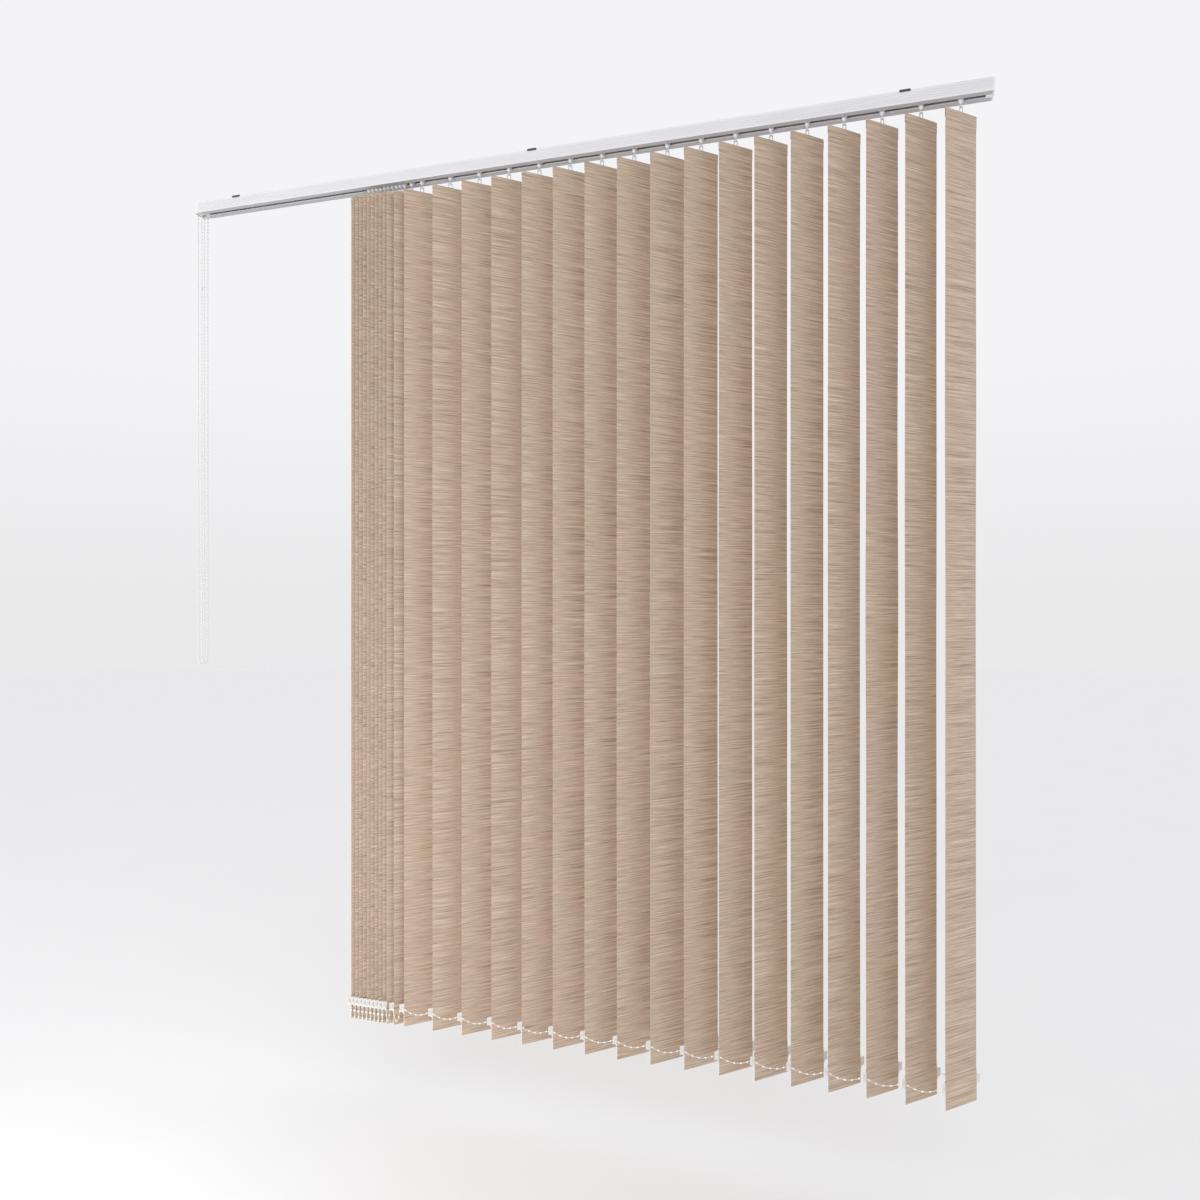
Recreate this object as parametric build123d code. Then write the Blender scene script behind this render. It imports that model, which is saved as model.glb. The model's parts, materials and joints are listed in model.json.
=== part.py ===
from build123d import *
import math
import os

# A vertical blind, in millimetres. X runs along the headrail, Y from the room to the window, Z up.
# The origin is the screw hole of the middle bracket, in the face that meets the lintel.

# Headrail: an aluminium extrusion that is open along the middle of its underside
rail_left = -946.0
rail_right = 994.0
rail_half_depth = 21.0
rail_top = -2.0
rail_bottom = -30.0
rail_wall = 1.4
slot_half = 6.5
slot_cut_height = 5.0
lip_height = 1.6
lip_gap = 0.3
rib_proud = 0.5
rib_height = 1.2
rib_levels = (-8.0, -13.0, -18.0, -23.0)
notch_length = 10.0
notch_half = 18.0

# Brackets: three folded steel clips, screwed up into the lintel
bracket_spacing = 826.0
bracket_width = 22.0
bracket_sheet = 1.2
bracket_gap = 0.15
bracket_round = 1.0
bracket_front_drop = 5.2
bracket_back_drop = 8.0
screw_hole_radius = 2.25

# Louvres: where they hang and how they stand
louvre_count = 28
first_spread = 12
spread_pitch = 77.0
stack_pitch = 11.0
last_truck_x = 935.0
loose_gaps = (28.0, 20.0)
louvre_angle = 45.0
louvre_width = 89.0
louvre_top = -53.5
louvre_bottom = -2087.0
cloth = 0.5
pocket_half = 0.75
top_hem = 18.0
bottom_hem = 57.0
hem_taper = 3.0

# Hanger, with the ring that the hook carries
plate_thick = 1.2
hanger_width = 82.0
ring_width = 10.4
ring_top = -42.5
ring_bar = 2.2
ring_round = 1.8
eye_round = 0.8
pocket_gap = 0.2
hanger_inset = 1.0
ring_slot_gap = 0.4

# Bottom weight, with an eared corner at each edge
weight_overhang = 0.5
weight_height = 55.0
ear_reach = 11.0
ear_height = 19.0
ear_root_drop = 9.0
ear_root_cut = 2.0
ear_hole_radius = 2.0
ear_hole_inset = 5.0
ear_hole_height = 45.5

# Spindle: a crowned stem that turns in the truck, a ball under the rail, and a hook
stem_radius = 3.0
crown_radius = 4.3
crown_top = -21.1
crown_height = 1.8
ball_radius = 4.8
ball_z = -31.5
neck_radius = 1.3
hook_radius = 0.9
hook_route = ((0, -35), (0, -38.7), (-2.3, -41.1), (-2.3, -45.65), (2.3, -45.65), (2.3, -42.7))
hook_bends = (1.6, 1.6, 1.2, 1.2)

# Trucks, their wheels and their spacer strips
truck_thick = 10.4
truck_half_depth = 9.0
truck_top = -4.6
truck_bottom = -28.2
running_gap = 0.08
free_gap = 0.3
wheel_radius = 4.0
wheel_inner = 10.0
wheel_width = 2.6
wheel_lift = 0.03
axle_radius = 1.0
axle_head_radius = 1.7
axle_head_gap = 0.2
axle_head_width = 0.6
axle_root = 1.0
axle_gap = 0.05
truck_round = 1.0
window_half = 3.3
window_low = -12.6
window_high = -8.2
strip_reach = 84.7
strip_thick = 0.25
strip_levels = 8
strip_step = 0.5
strip_side_gap = 0.3
strip_tail = 2.0
strip_anchor = 4.0
arm_half = 4.5
arm_reach = 19.0
arm_low = -11.0

# Tilt rod and the chain wheels on its axis
rod_radius = 3.0
rod_z = -17.3
rod_left = -958.6
rod_right = 988.5
bead_pitch = 9.0
wheel_pockets = 8
chain_radius = bead_pitch * wheel_pockets / (2 * math.pi)
chain_thick = 4.4
tilt_wheel_x = -953.5
draw_wheel_x = -942.5
wheel_core_radius = 8.9
wheel_flange_radius = 11.9
wheel_groove = 5.1
wheel_flange = 0.9
hub_radius = 4.6
hub_end = -928.0
bevel_radius = 6.8
bevel_end = -924.6

# Control housing at the left end and idler cap at the right end
cap_left = -960.5
cap_wall = 1.4
insert_right = -928.4
insert_half_depth = 19.4
insert_top = -3.6
insert_bottom = -28.4
cavity_right = -938.0
cavity_radius = 13.85
idler_right = 997.5
idler_plug_left = 983.0
slot_cover_length = 12.0
shelf_half = 7.0
shelf_low = -5.0
shelf_reach = 12.0
cap_round = 1.0
insert_wall = 1.5
notch_gap = 0.2
chain_window_inner = 8.9
hub_gap = 0.4
gear_pocket_low = -26.5
gear_pocket_high = -24.3
left_bearing_radius = 5.0
right_bearing_radius = 6.0
bearing_overlap = 0.2
bearing_depth = 1.2
rod_end_gap = 0.2
plug_hollow_low = -27.0
slot_cover_height = 3.6

# Traverse cord and the two pulleys that it runs round
cord_thick = 1.8
cord_gap = 0.2
cord_half = 16.5
cord_z = -7.2
drive_pulley_x = -908.0
idler_pulley_x = 964.5
pulley_core = 15.3
pulley_flange_radius = 17.6
pulley_groove = 2.4
pulley_height = 4.0
post_radius = 2.0
post_head_radius = 2.9
post_head_height = 0.6
post_bottom = -12.4
crown_ring_outer = 15.0
crown_ring_inner = 12.0
crown_ring_drop = 2.4

# Operating chains: two endless loops of beads, hanging from the chain wheels
loop_bottom = -1223.0
loop_route = (
    (-chain_radius, rod_z),
    (-chain_radius, -1165.0),
    (-10.6, loop_bottom),
    (10.6, loop_bottom),
    (chain_radius, -1165.0),
    (chain_radius, rod_z),
)
joiner_radius = 2.8
joiner_top = -221.0
joiner_length = 11.0
joiner_gap = 0.05

# Link chains along the bottom: one span from ear to ear of each pair of neighbours
link_thick = 1.4
connector_radius = 1.7
span_routes = {
    77.0: ((1.7, 0), (19.5, -8.2), (38.5, -11.6), (57.5, -8.2), (75.3, 0)),
    28.0: ((1.7, 0), (5, -4), (9.5, -34), (18.5, -34), (23, -4), (26.3, 0)),
    20.0: ((1.7, 0), (4.5, -3), (6.8, -35.5), (13.2, -35.5), (15.5, -3), (18.3, 0)),
    11.0: ((1.7, 0), (3.4, -2), (3.9, -37.5), (7.1, -37.5), (7.6, -2), (9.3, 0)),
}


def block(x0, x1, y0, y1, z0, z1):
    """A box between two corners."""
    return Pos((x0 + x1) / 2, (y0 + y1) / 2, (z0 + z1) / 2) * Box(x1 - x0, y1 - y0, z1 - z0)


def rod_along_x(radius, x0, x1, y, z):
    """A round bar along X."""
    return Pos((x0 + x1) / 2, y, z) * Rot(0, 90, 0) * Cylinder(radius, x1 - x0)


def rod_along_y(radius, y0, y1, x, z):
    """A round bar along Y."""
    return Pos(x, (y0 + y1) / 2, z) * Rot(90, 0, 0) * Cylinder(radius, y1 - y0)


def rod_along_z(radius, z0, z1, x=0.0, y=0.0):
    """A round bar along Z."""
    return Pos(x, y, (z0 + z1) / 2) * Cylinder(radius, z1 - z0)


def bend_radii(points):
    """The radius at each corner of a cord's route, as large as its two runs allow."""
    radii = []
    for before, corner, after in zip(points, points[1:], points[2:]):
        first, second = corner - before, after - corner
        half_turn = math.radians(first.get_angle(second)) / 2
        radii.append(0.45 * min(first.length, second.length) / math.tan(half_turn))
    return radii


def tube(points, radii, radius):
    """A round tube along straight runs that tangent arcs join, and the length of its path."""
    path = FilletPolyline(*points, radius=radii)
    start = Plane(origin=path @ 0, z_dir=path % 0)
    return sweep(start * Circle(radius), path=path), path.length


def truck_x(number):
    """Where a truck stands: spread from first_spread to the last, gathered before it."""
    if number >= first_spread:
        return last_truck_x - spread_pitch * (louvre_count - number)
    x = last_truck_x - spread_pitch * (louvre_count - first_spread)
    for place in range(first_spread - 1, number - 1, -1):
        loose = first_spread - 1 - place
        x -= loose_gaps[loose] if loose < len(loose_gaps) else stack_pitch
    return x


def save(shapes, name):
    """Writes one node, with each of its pieces as a solid of its own."""
    solids = [solid for shape in shapes for solid in shape.solids()]
    export_step(Compound(children=solids), f"parts/{name}.step")


def lip_grooves(x0, x1):
    """The clearance that any piece between the lips leaves round them."""
    groove_top = rail_bottom + rail_wall + lip_height + lip_gap
    inner, outer = slot_half - lip_gap, slot_half + rail_wall + lip_gap
    return [
        block(x0, x1, *sorted((side * inner, side * outer)), rail_bottom - 1, groove_top)
        for side in (-1, 1)
    ]


def headrail():
    """The C section with ribs along its front, notched at the left for the chains."""
    outer = block(rail_left, rail_right, -rail_half_depth, rail_half_depth, rail_bottom, rail_top)
    inner_half = rail_half_depth - rail_wall
    inside = (rail_bottom + rail_wall, rail_top - rail_wall)
    shape = outer - block(rail_left, rail_right, -inner_half, inner_half, *inside)
    for side in (-1, 1):
        edges = sorted((side * slot_half, side * (slot_half + rail_wall)))
        lip_top = rail_bottom + rail_wall + lip_height
        shape += block(rail_left, rail_right, *edges, rail_bottom, lip_top)
    shape -= block(rail_left, rail_right, -slot_half, slot_half, rail_bottom - 1, rail_bottom + slot_cut_height)
    front = -rail_half_depth
    for level in rib_levels:
        shape += block(rail_left, rail_right, front - rib_proud, front, level - rib_height, level)
    notch_right = rail_left + notch_length
    shape -= block(rail_left, notch_right, -notch_half, notch_half, rail_bottom - 1, rail_bottom + slot_cut_height)
    return shape


def bracket(x):
    """One clip: a plate on the rail's top, with a lip down its front and a longer one behind."""
    left, right = x - bracket_width / 2, x + bracket_width / 2
    reach = rail_half_depth + bracket_gap
    outside = reach + bracket_sheet
    shape = block(left, right, -outside, outside, rail_top, 0)
    shape += block(left, right, -outside, -reach, -bracket_front_drop, 0)
    shape += block(left, right, reach, outside, -bracket_back_drop, 0)
    shape -= rod_along_z(screw_hole_radius, rail_top - 1, 1, x)
    outer_edges = [
        edge
        for edge in shape.edges().filter_by(Axis.X)
        if abs(edge.center().Z) < 0.01 and abs(edge.center().Y) > reach
    ]
    return fillet(outer_edges, bracket_round)


def pulley_post(x):
    """The post that a pulley turns on, with the head that keeps it there."""
    post = rod_along_z(post_radius, post_bottom, shelf_low, x)
    return post + rod_along_z(post_head_radius, post_bottom, post_bottom + post_head_height, x)


def control_housing():
    """The white end cap and its insert, hollow round both chain wheels and open where chains leave."""
    cap = block(cap_left, rail_left, -rail_half_depth, rail_half_depth, rail_bottom, rail_top)
    outer_edges = [edge for edge in cap.edges() if abs(edge.center().X - cap_left) < 0.01]
    shape = fillet(outer_edges, cap_round)
    half = insert_half_depth
    shape += block(rail_left, insert_right, -half, half, insert_bottom, insert_top)
    shape -= lip_grooves(rail_left + notch_length - lip_gap, insert_right)
    notch_right = rail_left + notch_length - lip_gap
    low_half = notch_half - notch_gap
    shape += block(rail_left, notch_right, -low_half, low_half, rail_bottom, insert_bottom)
    cavity_left = cap_left + cap_wall
    shape -= rod_along_x(cavity_radius, cavity_left, cavity_right, 0, rod_z)
    for side in (-1, 1):
        edges = sorted((side * chain_window_inner, side * cavity_radius))
        shape -= block(cavity_left, cavity_right, *edges, rail_bottom - 1, rod_z)
    shape -= rod_along_x(hub_radius + hub_gap, cavity_right, insert_right, 0, rod_z)
    pocket_left, pocket_half_depth = cavity_right + insert_wall, half - insert_wall
    pocket_height = (gear_pocket_low, gear_pocket_high)
    shape -= block(pocket_left, insert_right, -pocket_half_depth, pocket_half_depth, *pocket_height)
    bearing_right = rod_left + bearing_depth
    shape += rod_along_x(left_bearing_radius, cavity_left - bearing_overlap, bearing_right, 0, rod_z)
    shape -= rod_along_x(rod_radius + running_gap, rod_left - rod_end_gap, bearing_right, 0, rod_z)
    shelf_right = drive_pulley_x + shelf_reach
    shape += block(cavity_right, shelf_right, -shelf_half, shelf_half, shelf_low, insert_top)
    return shape + pulley_post(drive_pulley_x)


def idler_cap():
    """The right end cap: a plate, a hollow plug with the rod's bearing, and the pulley's shelf."""
    cap = block(rail_right, idler_right, -rail_half_depth, rail_half_depth, rail_bottom, rail_top)
    outer_edges = [edge for edge in cap.edges() if abs(edge.center().X - idler_right) < 0.01]
    shape = fillet(outer_edges, cap_round)
    half = insert_half_depth
    shape += block(idler_plug_left, rail_right, -half, half, insert_bottom, insert_top)
    shape -= lip_grooves(idler_plug_left, rail_right)
    inner = half - insert_wall
    shape -= block(idler_plug_left, rail_right - 1, -inner, inner, plug_hollow_low, shelf_low)
    shape += rod_along_x(right_bearing_radius, idler_plug_left, rail_right, 0, rod_z)
    bearing_end = rod_right + rod_end_gap
    shape -= rod_along_x(rod_radius + running_gap, idler_plug_left, bearing_end, 0, rod_z)
    slot_fill = slot_half - lip_gap
    fill_left = rail_right - slot_cover_length
    fill_top = rail_bottom + slot_cover_height
    shape += block(fill_left, rail_right, -slot_fill, slot_fill, rail_bottom, fill_top)
    shelf_left = idler_pulley_x - shelf_reach
    shape += block(shelf_left, rail_right, -shelf_half, shelf_half, shelf_low, insert_top)
    return shape + pulley_post(idler_pulley_x)


def pulley(x):
    """A flanged cord pulley on a vertical post."""
    low, high = cord_z - pulley_height / 2, cord_z + pulley_height / 2
    shape = rod_along_z(pulley_core, low, high, x)
    for z0, z1 in ((low, cord_z - pulley_groove / 2), (cord_z + pulley_groove / 2, high)):
        shape += rod_along_z(pulley_flange_radius, z0, z1, x)
    return shape - rod_along_z(post_radius + running_gap, low, high, x)


def drive_pulley():
    """The cord pulley that the draw chain turns, with the crown ring under it."""
    low = cord_z - pulley_height / 2
    ring = rod_along_z(crown_ring_outer, low - crown_ring_drop, low, drive_pulley_x)
    ring -= rod_along_z(crown_ring_inner, low - crown_ring_drop, low, drive_pulley_x)
    return pulley(drive_pulley_x) + ring


def traverse_cord():
    """The endless cord inside the rail, round both pulleys."""
    radius = cord_thick / 2
    shape = None
    for side in (-1, 1):
        run = rod_along_x(radius, drive_pulley_x, idler_pulley_x, side * cord_half, cord_z)
        shape = run if shape is None else shape + run
    for x, turn in ((idler_pulley_x, -90), (drive_pulley_x, 90)):
        section = Pos(cord_half, 0, 0) * (Plane.XZ * Circle(radius))
        half_ring = revolve(section, Axis.Z, 180)
        shape += Pos(x, 0, cord_z) * Rot(0, 0, turn) * half_ring
    return shape


def chain_wheel(x):
    """A grooved wheel for a beaded chain, about the rod's axis."""
    half = wheel_groove / 2 + wheel_flange
    shape = rod_along_x(wheel_core_radius, x - half, x + half, 0, rod_z)
    for x0, x1 in ((x - half, x - wheel_groove / 2), (x + wheel_groove / 2, x + half)):
        shape += rod_along_x(wheel_flange_radius, x0, x1, 0, rod_z)
    return shape


def tilt_chain_wheel():
    """The wheel that is pressed on the rod."""
    reach = wheel_groove / 2 + wheel_flange
    bore = rod_along_x(rod_radius, tilt_wheel_x - reach, tilt_wheel_x + reach, 0, rod_z)
    return chain_wheel(tilt_wheel_x) - bore


def draw_chain_wheel():
    """The wheel that runs free on the rod, with the hub and bevel that drive the pulley."""
    shape = chain_wheel(draw_wheel_x)
    shape += rod_along_x(hub_radius, draw_wheel_x, hub_end, 0, rod_z)
    middle = (hub_end + bevel_end) / 2
    cone = Pos(middle, 0, rod_z) * Rot(0, 90, 0) * Cone(bevel_radius, hub_radius, bevel_end - hub_end)
    bore = rod_along_x(rod_radius + running_gap, tilt_wheel_x, bevel_end, 0, rod_z)
    return shape + cone - bore


def operating_chain(x):
    """One endless loop: the hanging part, and the turn over its wheel."""
    points = [Vector(x, y, z) for y, z in loop_route]
    radii = bend_radii(points)
    radius = chain_thick / 2
    hanging, length = tube(points, radii, radius)
    section = Pos(chain_radius, 0, 0) * (Plane.XZ * Circle(radius))
    over_wheel = Pos(x, 0, rod_z) * (Plane.YZ * revolve(section, Axis.Z, 180))
    print("chain loop: length", round(length), "radii", [round(value, 1) for value in radii])
    print("  volume over section times length", round(hanging.volume / (math.pi * radius**2 * length), 4))
    return hanging + over_wheel


def chain_joiner():
    """The connector that closes the draw chain's loop."""
    low = joiner_top - joiner_length
    shape = rod_along_z(joiner_radius, low, joiner_top, draw_wheel_x, -chain_radius)
    return shape - rod_along_z(chain_thick / 2 + joiner_gap, low, joiner_top, draw_wheel_x, -chain_radius)


def truck_body():
    """The moulded truck: bores for the rod, the stem and its crown, a window for strips, axles."""
    half = truck_thick / 2
    depth = truck_half_depth
    shape = block(-half, half, -depth, depth, truck_bottom, truck_top)
    shape = fillet(shape.edges().filter_by(Axis.X).group_by(Axis.Z)[-1], truck_round)
    foot = slot_half - lip_gap
    shoulder = rail_bottom + rail_wall + lip_height + lip_gap
    for side in (-1, 1):
        shape -= block(-half, half, *sorted((side * foot, side * (depth + 1))), truck_bottom, shoulder)
    shape -= rod_along_x(rod_radius + running_gap, -half, half, 0, rod_z)
    shape -= block(-half, half, -window_half, window_half, window_low, window_high)
    crown_low = crown_top - crown_height
    shape -= rod_along_z(crown_radius + free_gap, crown_low - free_gap, crown_top + free_gap)
    shape -= rod_along_z(stem_radius + running_gap, truck_bottom, crown_low)
    shape -= Pos(0, 0, ball_z) * Sphere(ball_radius + free_gap)
    wheel_z = rail_bottom + rail_wall + wheel_radius + wheel_lift
    outer = wheel_inner + wheel_width
    for side in (-1, 1):
        tip = outer + axle_head_gap + axle_head_width
        shape += rod_along_y(axle_radius, *sorted((side * (depth - axle_root), side * tip)), 0, wheel_z)
        head = sorted((side * (outer + axle_head_gap), side * tip))
        shape += rod_along_y(axle_head_radius, *head, 0, wheel_z)
    return shape


def truck_wheel(side):
    """One of the two wheels that roll on the rail's lower flanges."""
    wheel_z = rail_bottom + rail_wall + wheel_radius + wheel_lift
    faces = sorted((side * wheel_inner, side * (wheel_inner + wheel_width)))
    shape = rod_along_y(wheel_radius, *faces, 0, wheel_z)
    return shape - rod_along_y(axle_radius + axle_gap, *faces, 0, wheel_z)


def spacer_strip(level):
    """The strip that spaces a truck from the one on its left, anchored in its own truck."""
    low = window_low + strip_side_gap + level * strip_step
    half = window_half - strip_side_gap
    shape = block(-strip_reach, strip_tail, -half, half, low, low + strip_thick)
    return shape + block(-strip_anchor, strip_tail, -window_half, window_half, low, low + strip_thick)


def cord_arm():
    """The arm that ties the lead truck to the traverse cord."""
    shape = block(-arm_half, arm_half, -arm_reach, -truck_half_depth, arm_low, truck_top)
    return shape - rod_along_x(cord_thick / 2 + cord_gap, -arm_half, arm_half, -cord_half, cord_z)


def louvre_cloth():
    """The cloth: one layer, with a sewn pocket along its top and another along its bottom."""
    thin = cloth / 2
    out = pocket_half + cloth
    top, low = louvre_top, louvre_bottom
    outline = [
        (-out, top), (out, top), (out, top - top_hem), (thin, top - top_hem - hem_taper),
        (thin, low + bottom_hem + hem_taper), (out, low + bottom_hem), (out, low), (-out, low),
        (-out, low + bottom_hem), (-thin, low + bottom_hem + hem_taper),
        (-thin, top - top_hem - hem_taper), (-out, top - top_hem),
    ]
    half = louvre_width / 2
    side = Plane.YZ.offset(-half) * make_face(Polyline(*outline, close=True))
    shape = extrude(side, louvre_width)
    for z0, z1 in ((top - top_hem, top - cloth), (low + cloth, low + bottom_hem)):
        shape -= block(-half, half, -pocket_half, pocket_half, z0, z1)
    slot = ring_width / 2 + ring_slot_gap
    return shape - block(-slot, slot, -pocket_half, pocket_half, top - 1, top + 1)


def hanger():
    """The stiff plate in the top pocket, with the ring that stands out of it."""
    half, thick = hanger_width / 2, plate_thick / 2
    base = louvre_top - cloth - pocket_gap
    shape = block(-half, half, -thick, thick, louvre_top - top_hem + hanger_inset, base)
    ring = block(-ring_width / 2, ring_width / 2, -thick, thick, base, ring_top)
    ring = fillet(ring.edges().filter_by(Axis.Y).group_by(Axis.Z)[-1], ring_round)
    inner = ring_width / 2 - ring_bar
    eye = block(-inner, inner, -thick, thick, base, ring_top - ring_bar)
    return shape + ring - fillet(eye.edges().filter_by(Axis.Y), eye_round)


def bottom_weight():
    """The plate in the bottom pocket, with an ear past each edge of the cloth."""
    half = louvre_width / 2 + weight_overhang
    low, high = louvre_bottom + cloth + pocket_gap, louvre_bottom + weight_height
    reach = louvre_width / 2 + ear_reach
    thick = plate_thick / 2
    ear_low = high - ear_height
    shape = block(-half, half, -thick, thick, low, high)
    for side in (-1, 1):
        shape += block(*sorted((side * (half - 1), side * reach)), -thick, thick, ear_low, high)
        root_low = ear_low - ear_root_drop
        root = block(*sorted((side * half, side * reach)), -thick, thick, root_low, ear_low)
        root -= rod_along_y(ear_root_drop, -thick, thick, side * reach, root_low)
        thin_tip = sorted((side * (reach - ear_root_cut), side * reach))
        shape += root - block(*thin_tip, -thick, thick, root_low, ear_low)
    hole_z = louvre_bottom + ear_hole_height
    for side in (-1, 1):
        shape -= rod_along_y(ear_hole_radius, -thick, thick, side * (reach - ear_hole_inset), hole_z)
    return shape


def spindle():
    """The stem with its crown gear, the ball and the hook that holds the hanger's ring."""
    crown_low = crown_top - crown_height
    shape = rod_along_z(stem_radius, ball_z, crown_low)
    shape += rod_along_z(crown_radius, crown_low, crown_top)
    shape += Pos(0, 0, ball_z) * Sphere(ball_radius)
    shape += rod_along_z(neck_radius, hook_route[1][1] + 2, ball_z)
    points = [Vector(0, y, z) for y, z in hook_route]
    hook, _ = tube(points, hook_bends, hook_radius)
    return shape + hook


def link_chain():
    """The chain that ties the louvres' room-side ears, with a connector in each ear."""
    reach = louvre_width / 2 + ear_reach - ear_hole_inset
    across = math.radians(louvre_angle)
    dx, dy = -reach * math.cos(across), -reach * math.sin(across)
    z = louvre_bottom + ear_hole_height
    radius = link_thick / 2
    pieces, shown = [], set()
    for number in range(1, louvre_count + 1):
        ear_x = truck_x(number) + dx
        pieces.append(Pos(ear_x, dy, z) * Sphere(connector_radius))
        if number == louvre_count:
            break
        gap = truck_x(number + 1) - truck_x(number)
        points = [Vector(ear_x + x, dy, z + drop) for x, drop in span_routes[gap]]
        radii = bend_radii(points)
        span, length = tube(points, radii, radius)
        pieces.append(span)
        if gap not in shown:
            shown.add(gap)
            ratio = span.volume / (math.pi * radius**2 * length)
            whole = length + 2 * connector_radius
            print("link span", gap, "length", round(whole, 1), "radii", [round(value, 1) for value in radii])
            print("  volume over section times length", round(ratio, 4))
    return pieces


os.makedirs("parts", exist_ok=True)

save([headrail()], "headrail")
save([bracket(place * bracket_spacing) for place in (-1, 0, 1)], "brackets")
save([control_housing()], "control_housing")
save([idler_cap()], "idler_cap")
save([pulley(idler_pulley_x)], "idler_pulley")
save([drive_pulley()], "drive_pulley")
save([traverse_cord()], "traverse_cord")
save([rod_along_x(rod_radius, rod_left, rod_right, 0, rod_z)], "tilt_rod")
save([tilt_chain_wheel()], "tilt_chain_wheel")
save([draw_chain_wheel()], "draw_chain_wheel")
save([operating_chain(tilt_wheel_x)], "tilt_chain")
save([operating_chain(draw_wheel_x)], "draw_chain")
save([chain_joiner()], "chain_joiner")

# Trucks 1 to 12 travel together and share a node; each later one has a node of its own.
body = truck_body()
wheels = [truck_wheel(side) for side in (-1, 1)]
lead_pieces = []
for number in range(1, louvre_count + 1):
    pieces = [body + cord_arm() if number == 1 else body, *wheels]
    if number > 1:
        pieces.append(spacer_strip(number % strip_levels))
    pieces = [Pos(truck_x(number), 0, 0) * piece for piece in pieces]
    if number <= first_spread:
        lead_pieces += pieces
    else:
        save(pieces, f"truck_{number:02d}")
save(lead_pieces, "lead_trucks")

louvre = [louvre_cloth(), hanger(), bottom_weight(), spindle()]
for number in range(1, louvre_count + 1):
    place = Pos(truck_x(number), 0, 0) * Rot(0, 0, louvre_angle)
    save([place * piece for piece in louvre], f"louvre_{number:02d}")

room_side = link_chain()
ear_span = 2 * (louvre_width / 2 + ear_reach - ear_hole_inset)
across = math.radians(louvre_angle)
to_window = Pos(ear_span * math.cos(across), ear_span * math.sin(across), 0)
save(room_side, "front_link_chain")
save([to_window * piece for piece in room_side], "rear_link_chain")
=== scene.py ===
import json
import math
import random

import bmesh
import bpy
from mathutils import Matrix, Vector

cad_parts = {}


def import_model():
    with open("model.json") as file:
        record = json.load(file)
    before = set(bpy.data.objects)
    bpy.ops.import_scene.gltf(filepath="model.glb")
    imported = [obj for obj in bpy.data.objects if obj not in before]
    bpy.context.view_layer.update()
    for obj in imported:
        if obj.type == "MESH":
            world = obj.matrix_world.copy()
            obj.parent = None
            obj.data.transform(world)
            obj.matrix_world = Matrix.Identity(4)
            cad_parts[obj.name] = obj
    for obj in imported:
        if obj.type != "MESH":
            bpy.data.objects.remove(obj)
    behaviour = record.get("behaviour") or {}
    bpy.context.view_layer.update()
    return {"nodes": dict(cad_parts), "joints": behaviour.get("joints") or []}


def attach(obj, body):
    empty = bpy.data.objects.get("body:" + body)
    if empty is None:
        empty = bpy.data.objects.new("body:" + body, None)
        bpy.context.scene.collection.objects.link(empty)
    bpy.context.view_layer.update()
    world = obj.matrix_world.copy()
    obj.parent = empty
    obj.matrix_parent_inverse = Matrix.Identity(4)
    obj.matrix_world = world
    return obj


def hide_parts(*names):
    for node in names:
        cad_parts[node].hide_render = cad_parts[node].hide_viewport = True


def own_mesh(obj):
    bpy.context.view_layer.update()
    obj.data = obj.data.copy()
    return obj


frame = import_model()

MM = 0.001

# Sizes that part.py also holds, in metres unless a name or comment says otherwise
LOUVRE_ANGLE = math.radians(45)
LOUVRE_HALF = 44.5 * MM
LOUVRE_TOP = -53.5 * MM
LOUVRE_BOTTOM = -2087.0 * MM
CLOTH = 0.5 * MM
LAYER = 1.0 * MM  # from the louvre's plane to the middle of each of a hem's two layers
TOP_HEM = 18.0 * MM
BOTTOM_HEM = 57.0 * MM
PLATE = 1.2 * MM
RING_HALF = 5.2 * MM
RING_TOP = -42.5 * MM
RING_BAR = 2.2 * MM
WEIGHT_HALF = 45.4 * MM
WEIGHT_HEIGHT = 55.0 * MM
EAR_REACH = 55.5 * MM
EAR_HEIGHT = 19.0 * MM
EAR_HOLE = 50.5 * MM
EAR_HOLE_HEIGHT = 45.5 * MM
EAR_HOLE_RADIUS = 2.0 * MM
EAR_OFFSET = EAR_HOLE * math.cos(LOUVRE_ANGLE)  # of an ear's hole from its louvre's axis, in X and in Y
BALL_Z = -31.5 * MM
BALL_RADIUS = 4.8 * MM
ROD_Z = -17.3 * MM
RAIL_BOTTOM = -30.0 * MM
CHAIN_RADIUS = 9.0 * 8 / (2 * math.pi) * MM
BEAD = 4.4 * MM
BEAD_PITCH = 9.0 * MM
LINK_BEAD = 3.8 * MM
LINK_PITCH = 14.8 * MM
LINK_BEADS = 5
LOUVRES = 28
FIRST_SPREAD = 12
TILT_WHEEL_X = -953.5 * MM
DRAW_WHEEL_X = -942.5 * MM

# Control points in millimetres: (y, z) for the hook and the operating chains, and, for one span of a
# link chain, (x from the first ear's hole, drop) by the gap between its louvres
HOOK_ROUTE = ((0, -35), (0, -38.7), (-2.3, -41.1), (-2.3, -45.65), (2.3, -45.65), (2.3, -42.7))
LOOP_ROUTE = (
    (-CHAIN_RADIUS / MM, -30.0),
    (-CHAIN_RADIUS / MM, -1165.0),
    (-10.6, -1223.0),
    (10.6, -1223.0),
    (CHAIN_RADIUS / MM, -1165.0),
    (CHAIN_RADIUS / MM, -30.0),
)
SPAN_ROUTES = {
    77: ((1.7, 0), (19.5, -8.2), (38.5, -11.6), (57.5, -8.2), (75.3, 0)),
    28: ((1.7, 0), (5, -4), (9.5, -34), (18.5, -34), (23, -4), (26.3, 0)),
    20: ((1.7, 0), (4.5, -3), (6.8, -35.5), (13.2, -35.5), (15.5, -3), (18.3, 0)),
    11: ((1.7, 0), (3.4, -2), (3.9, -37.5), (7.1, -37.5), (7.6, -2), (9.3, 0)),
}

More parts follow.
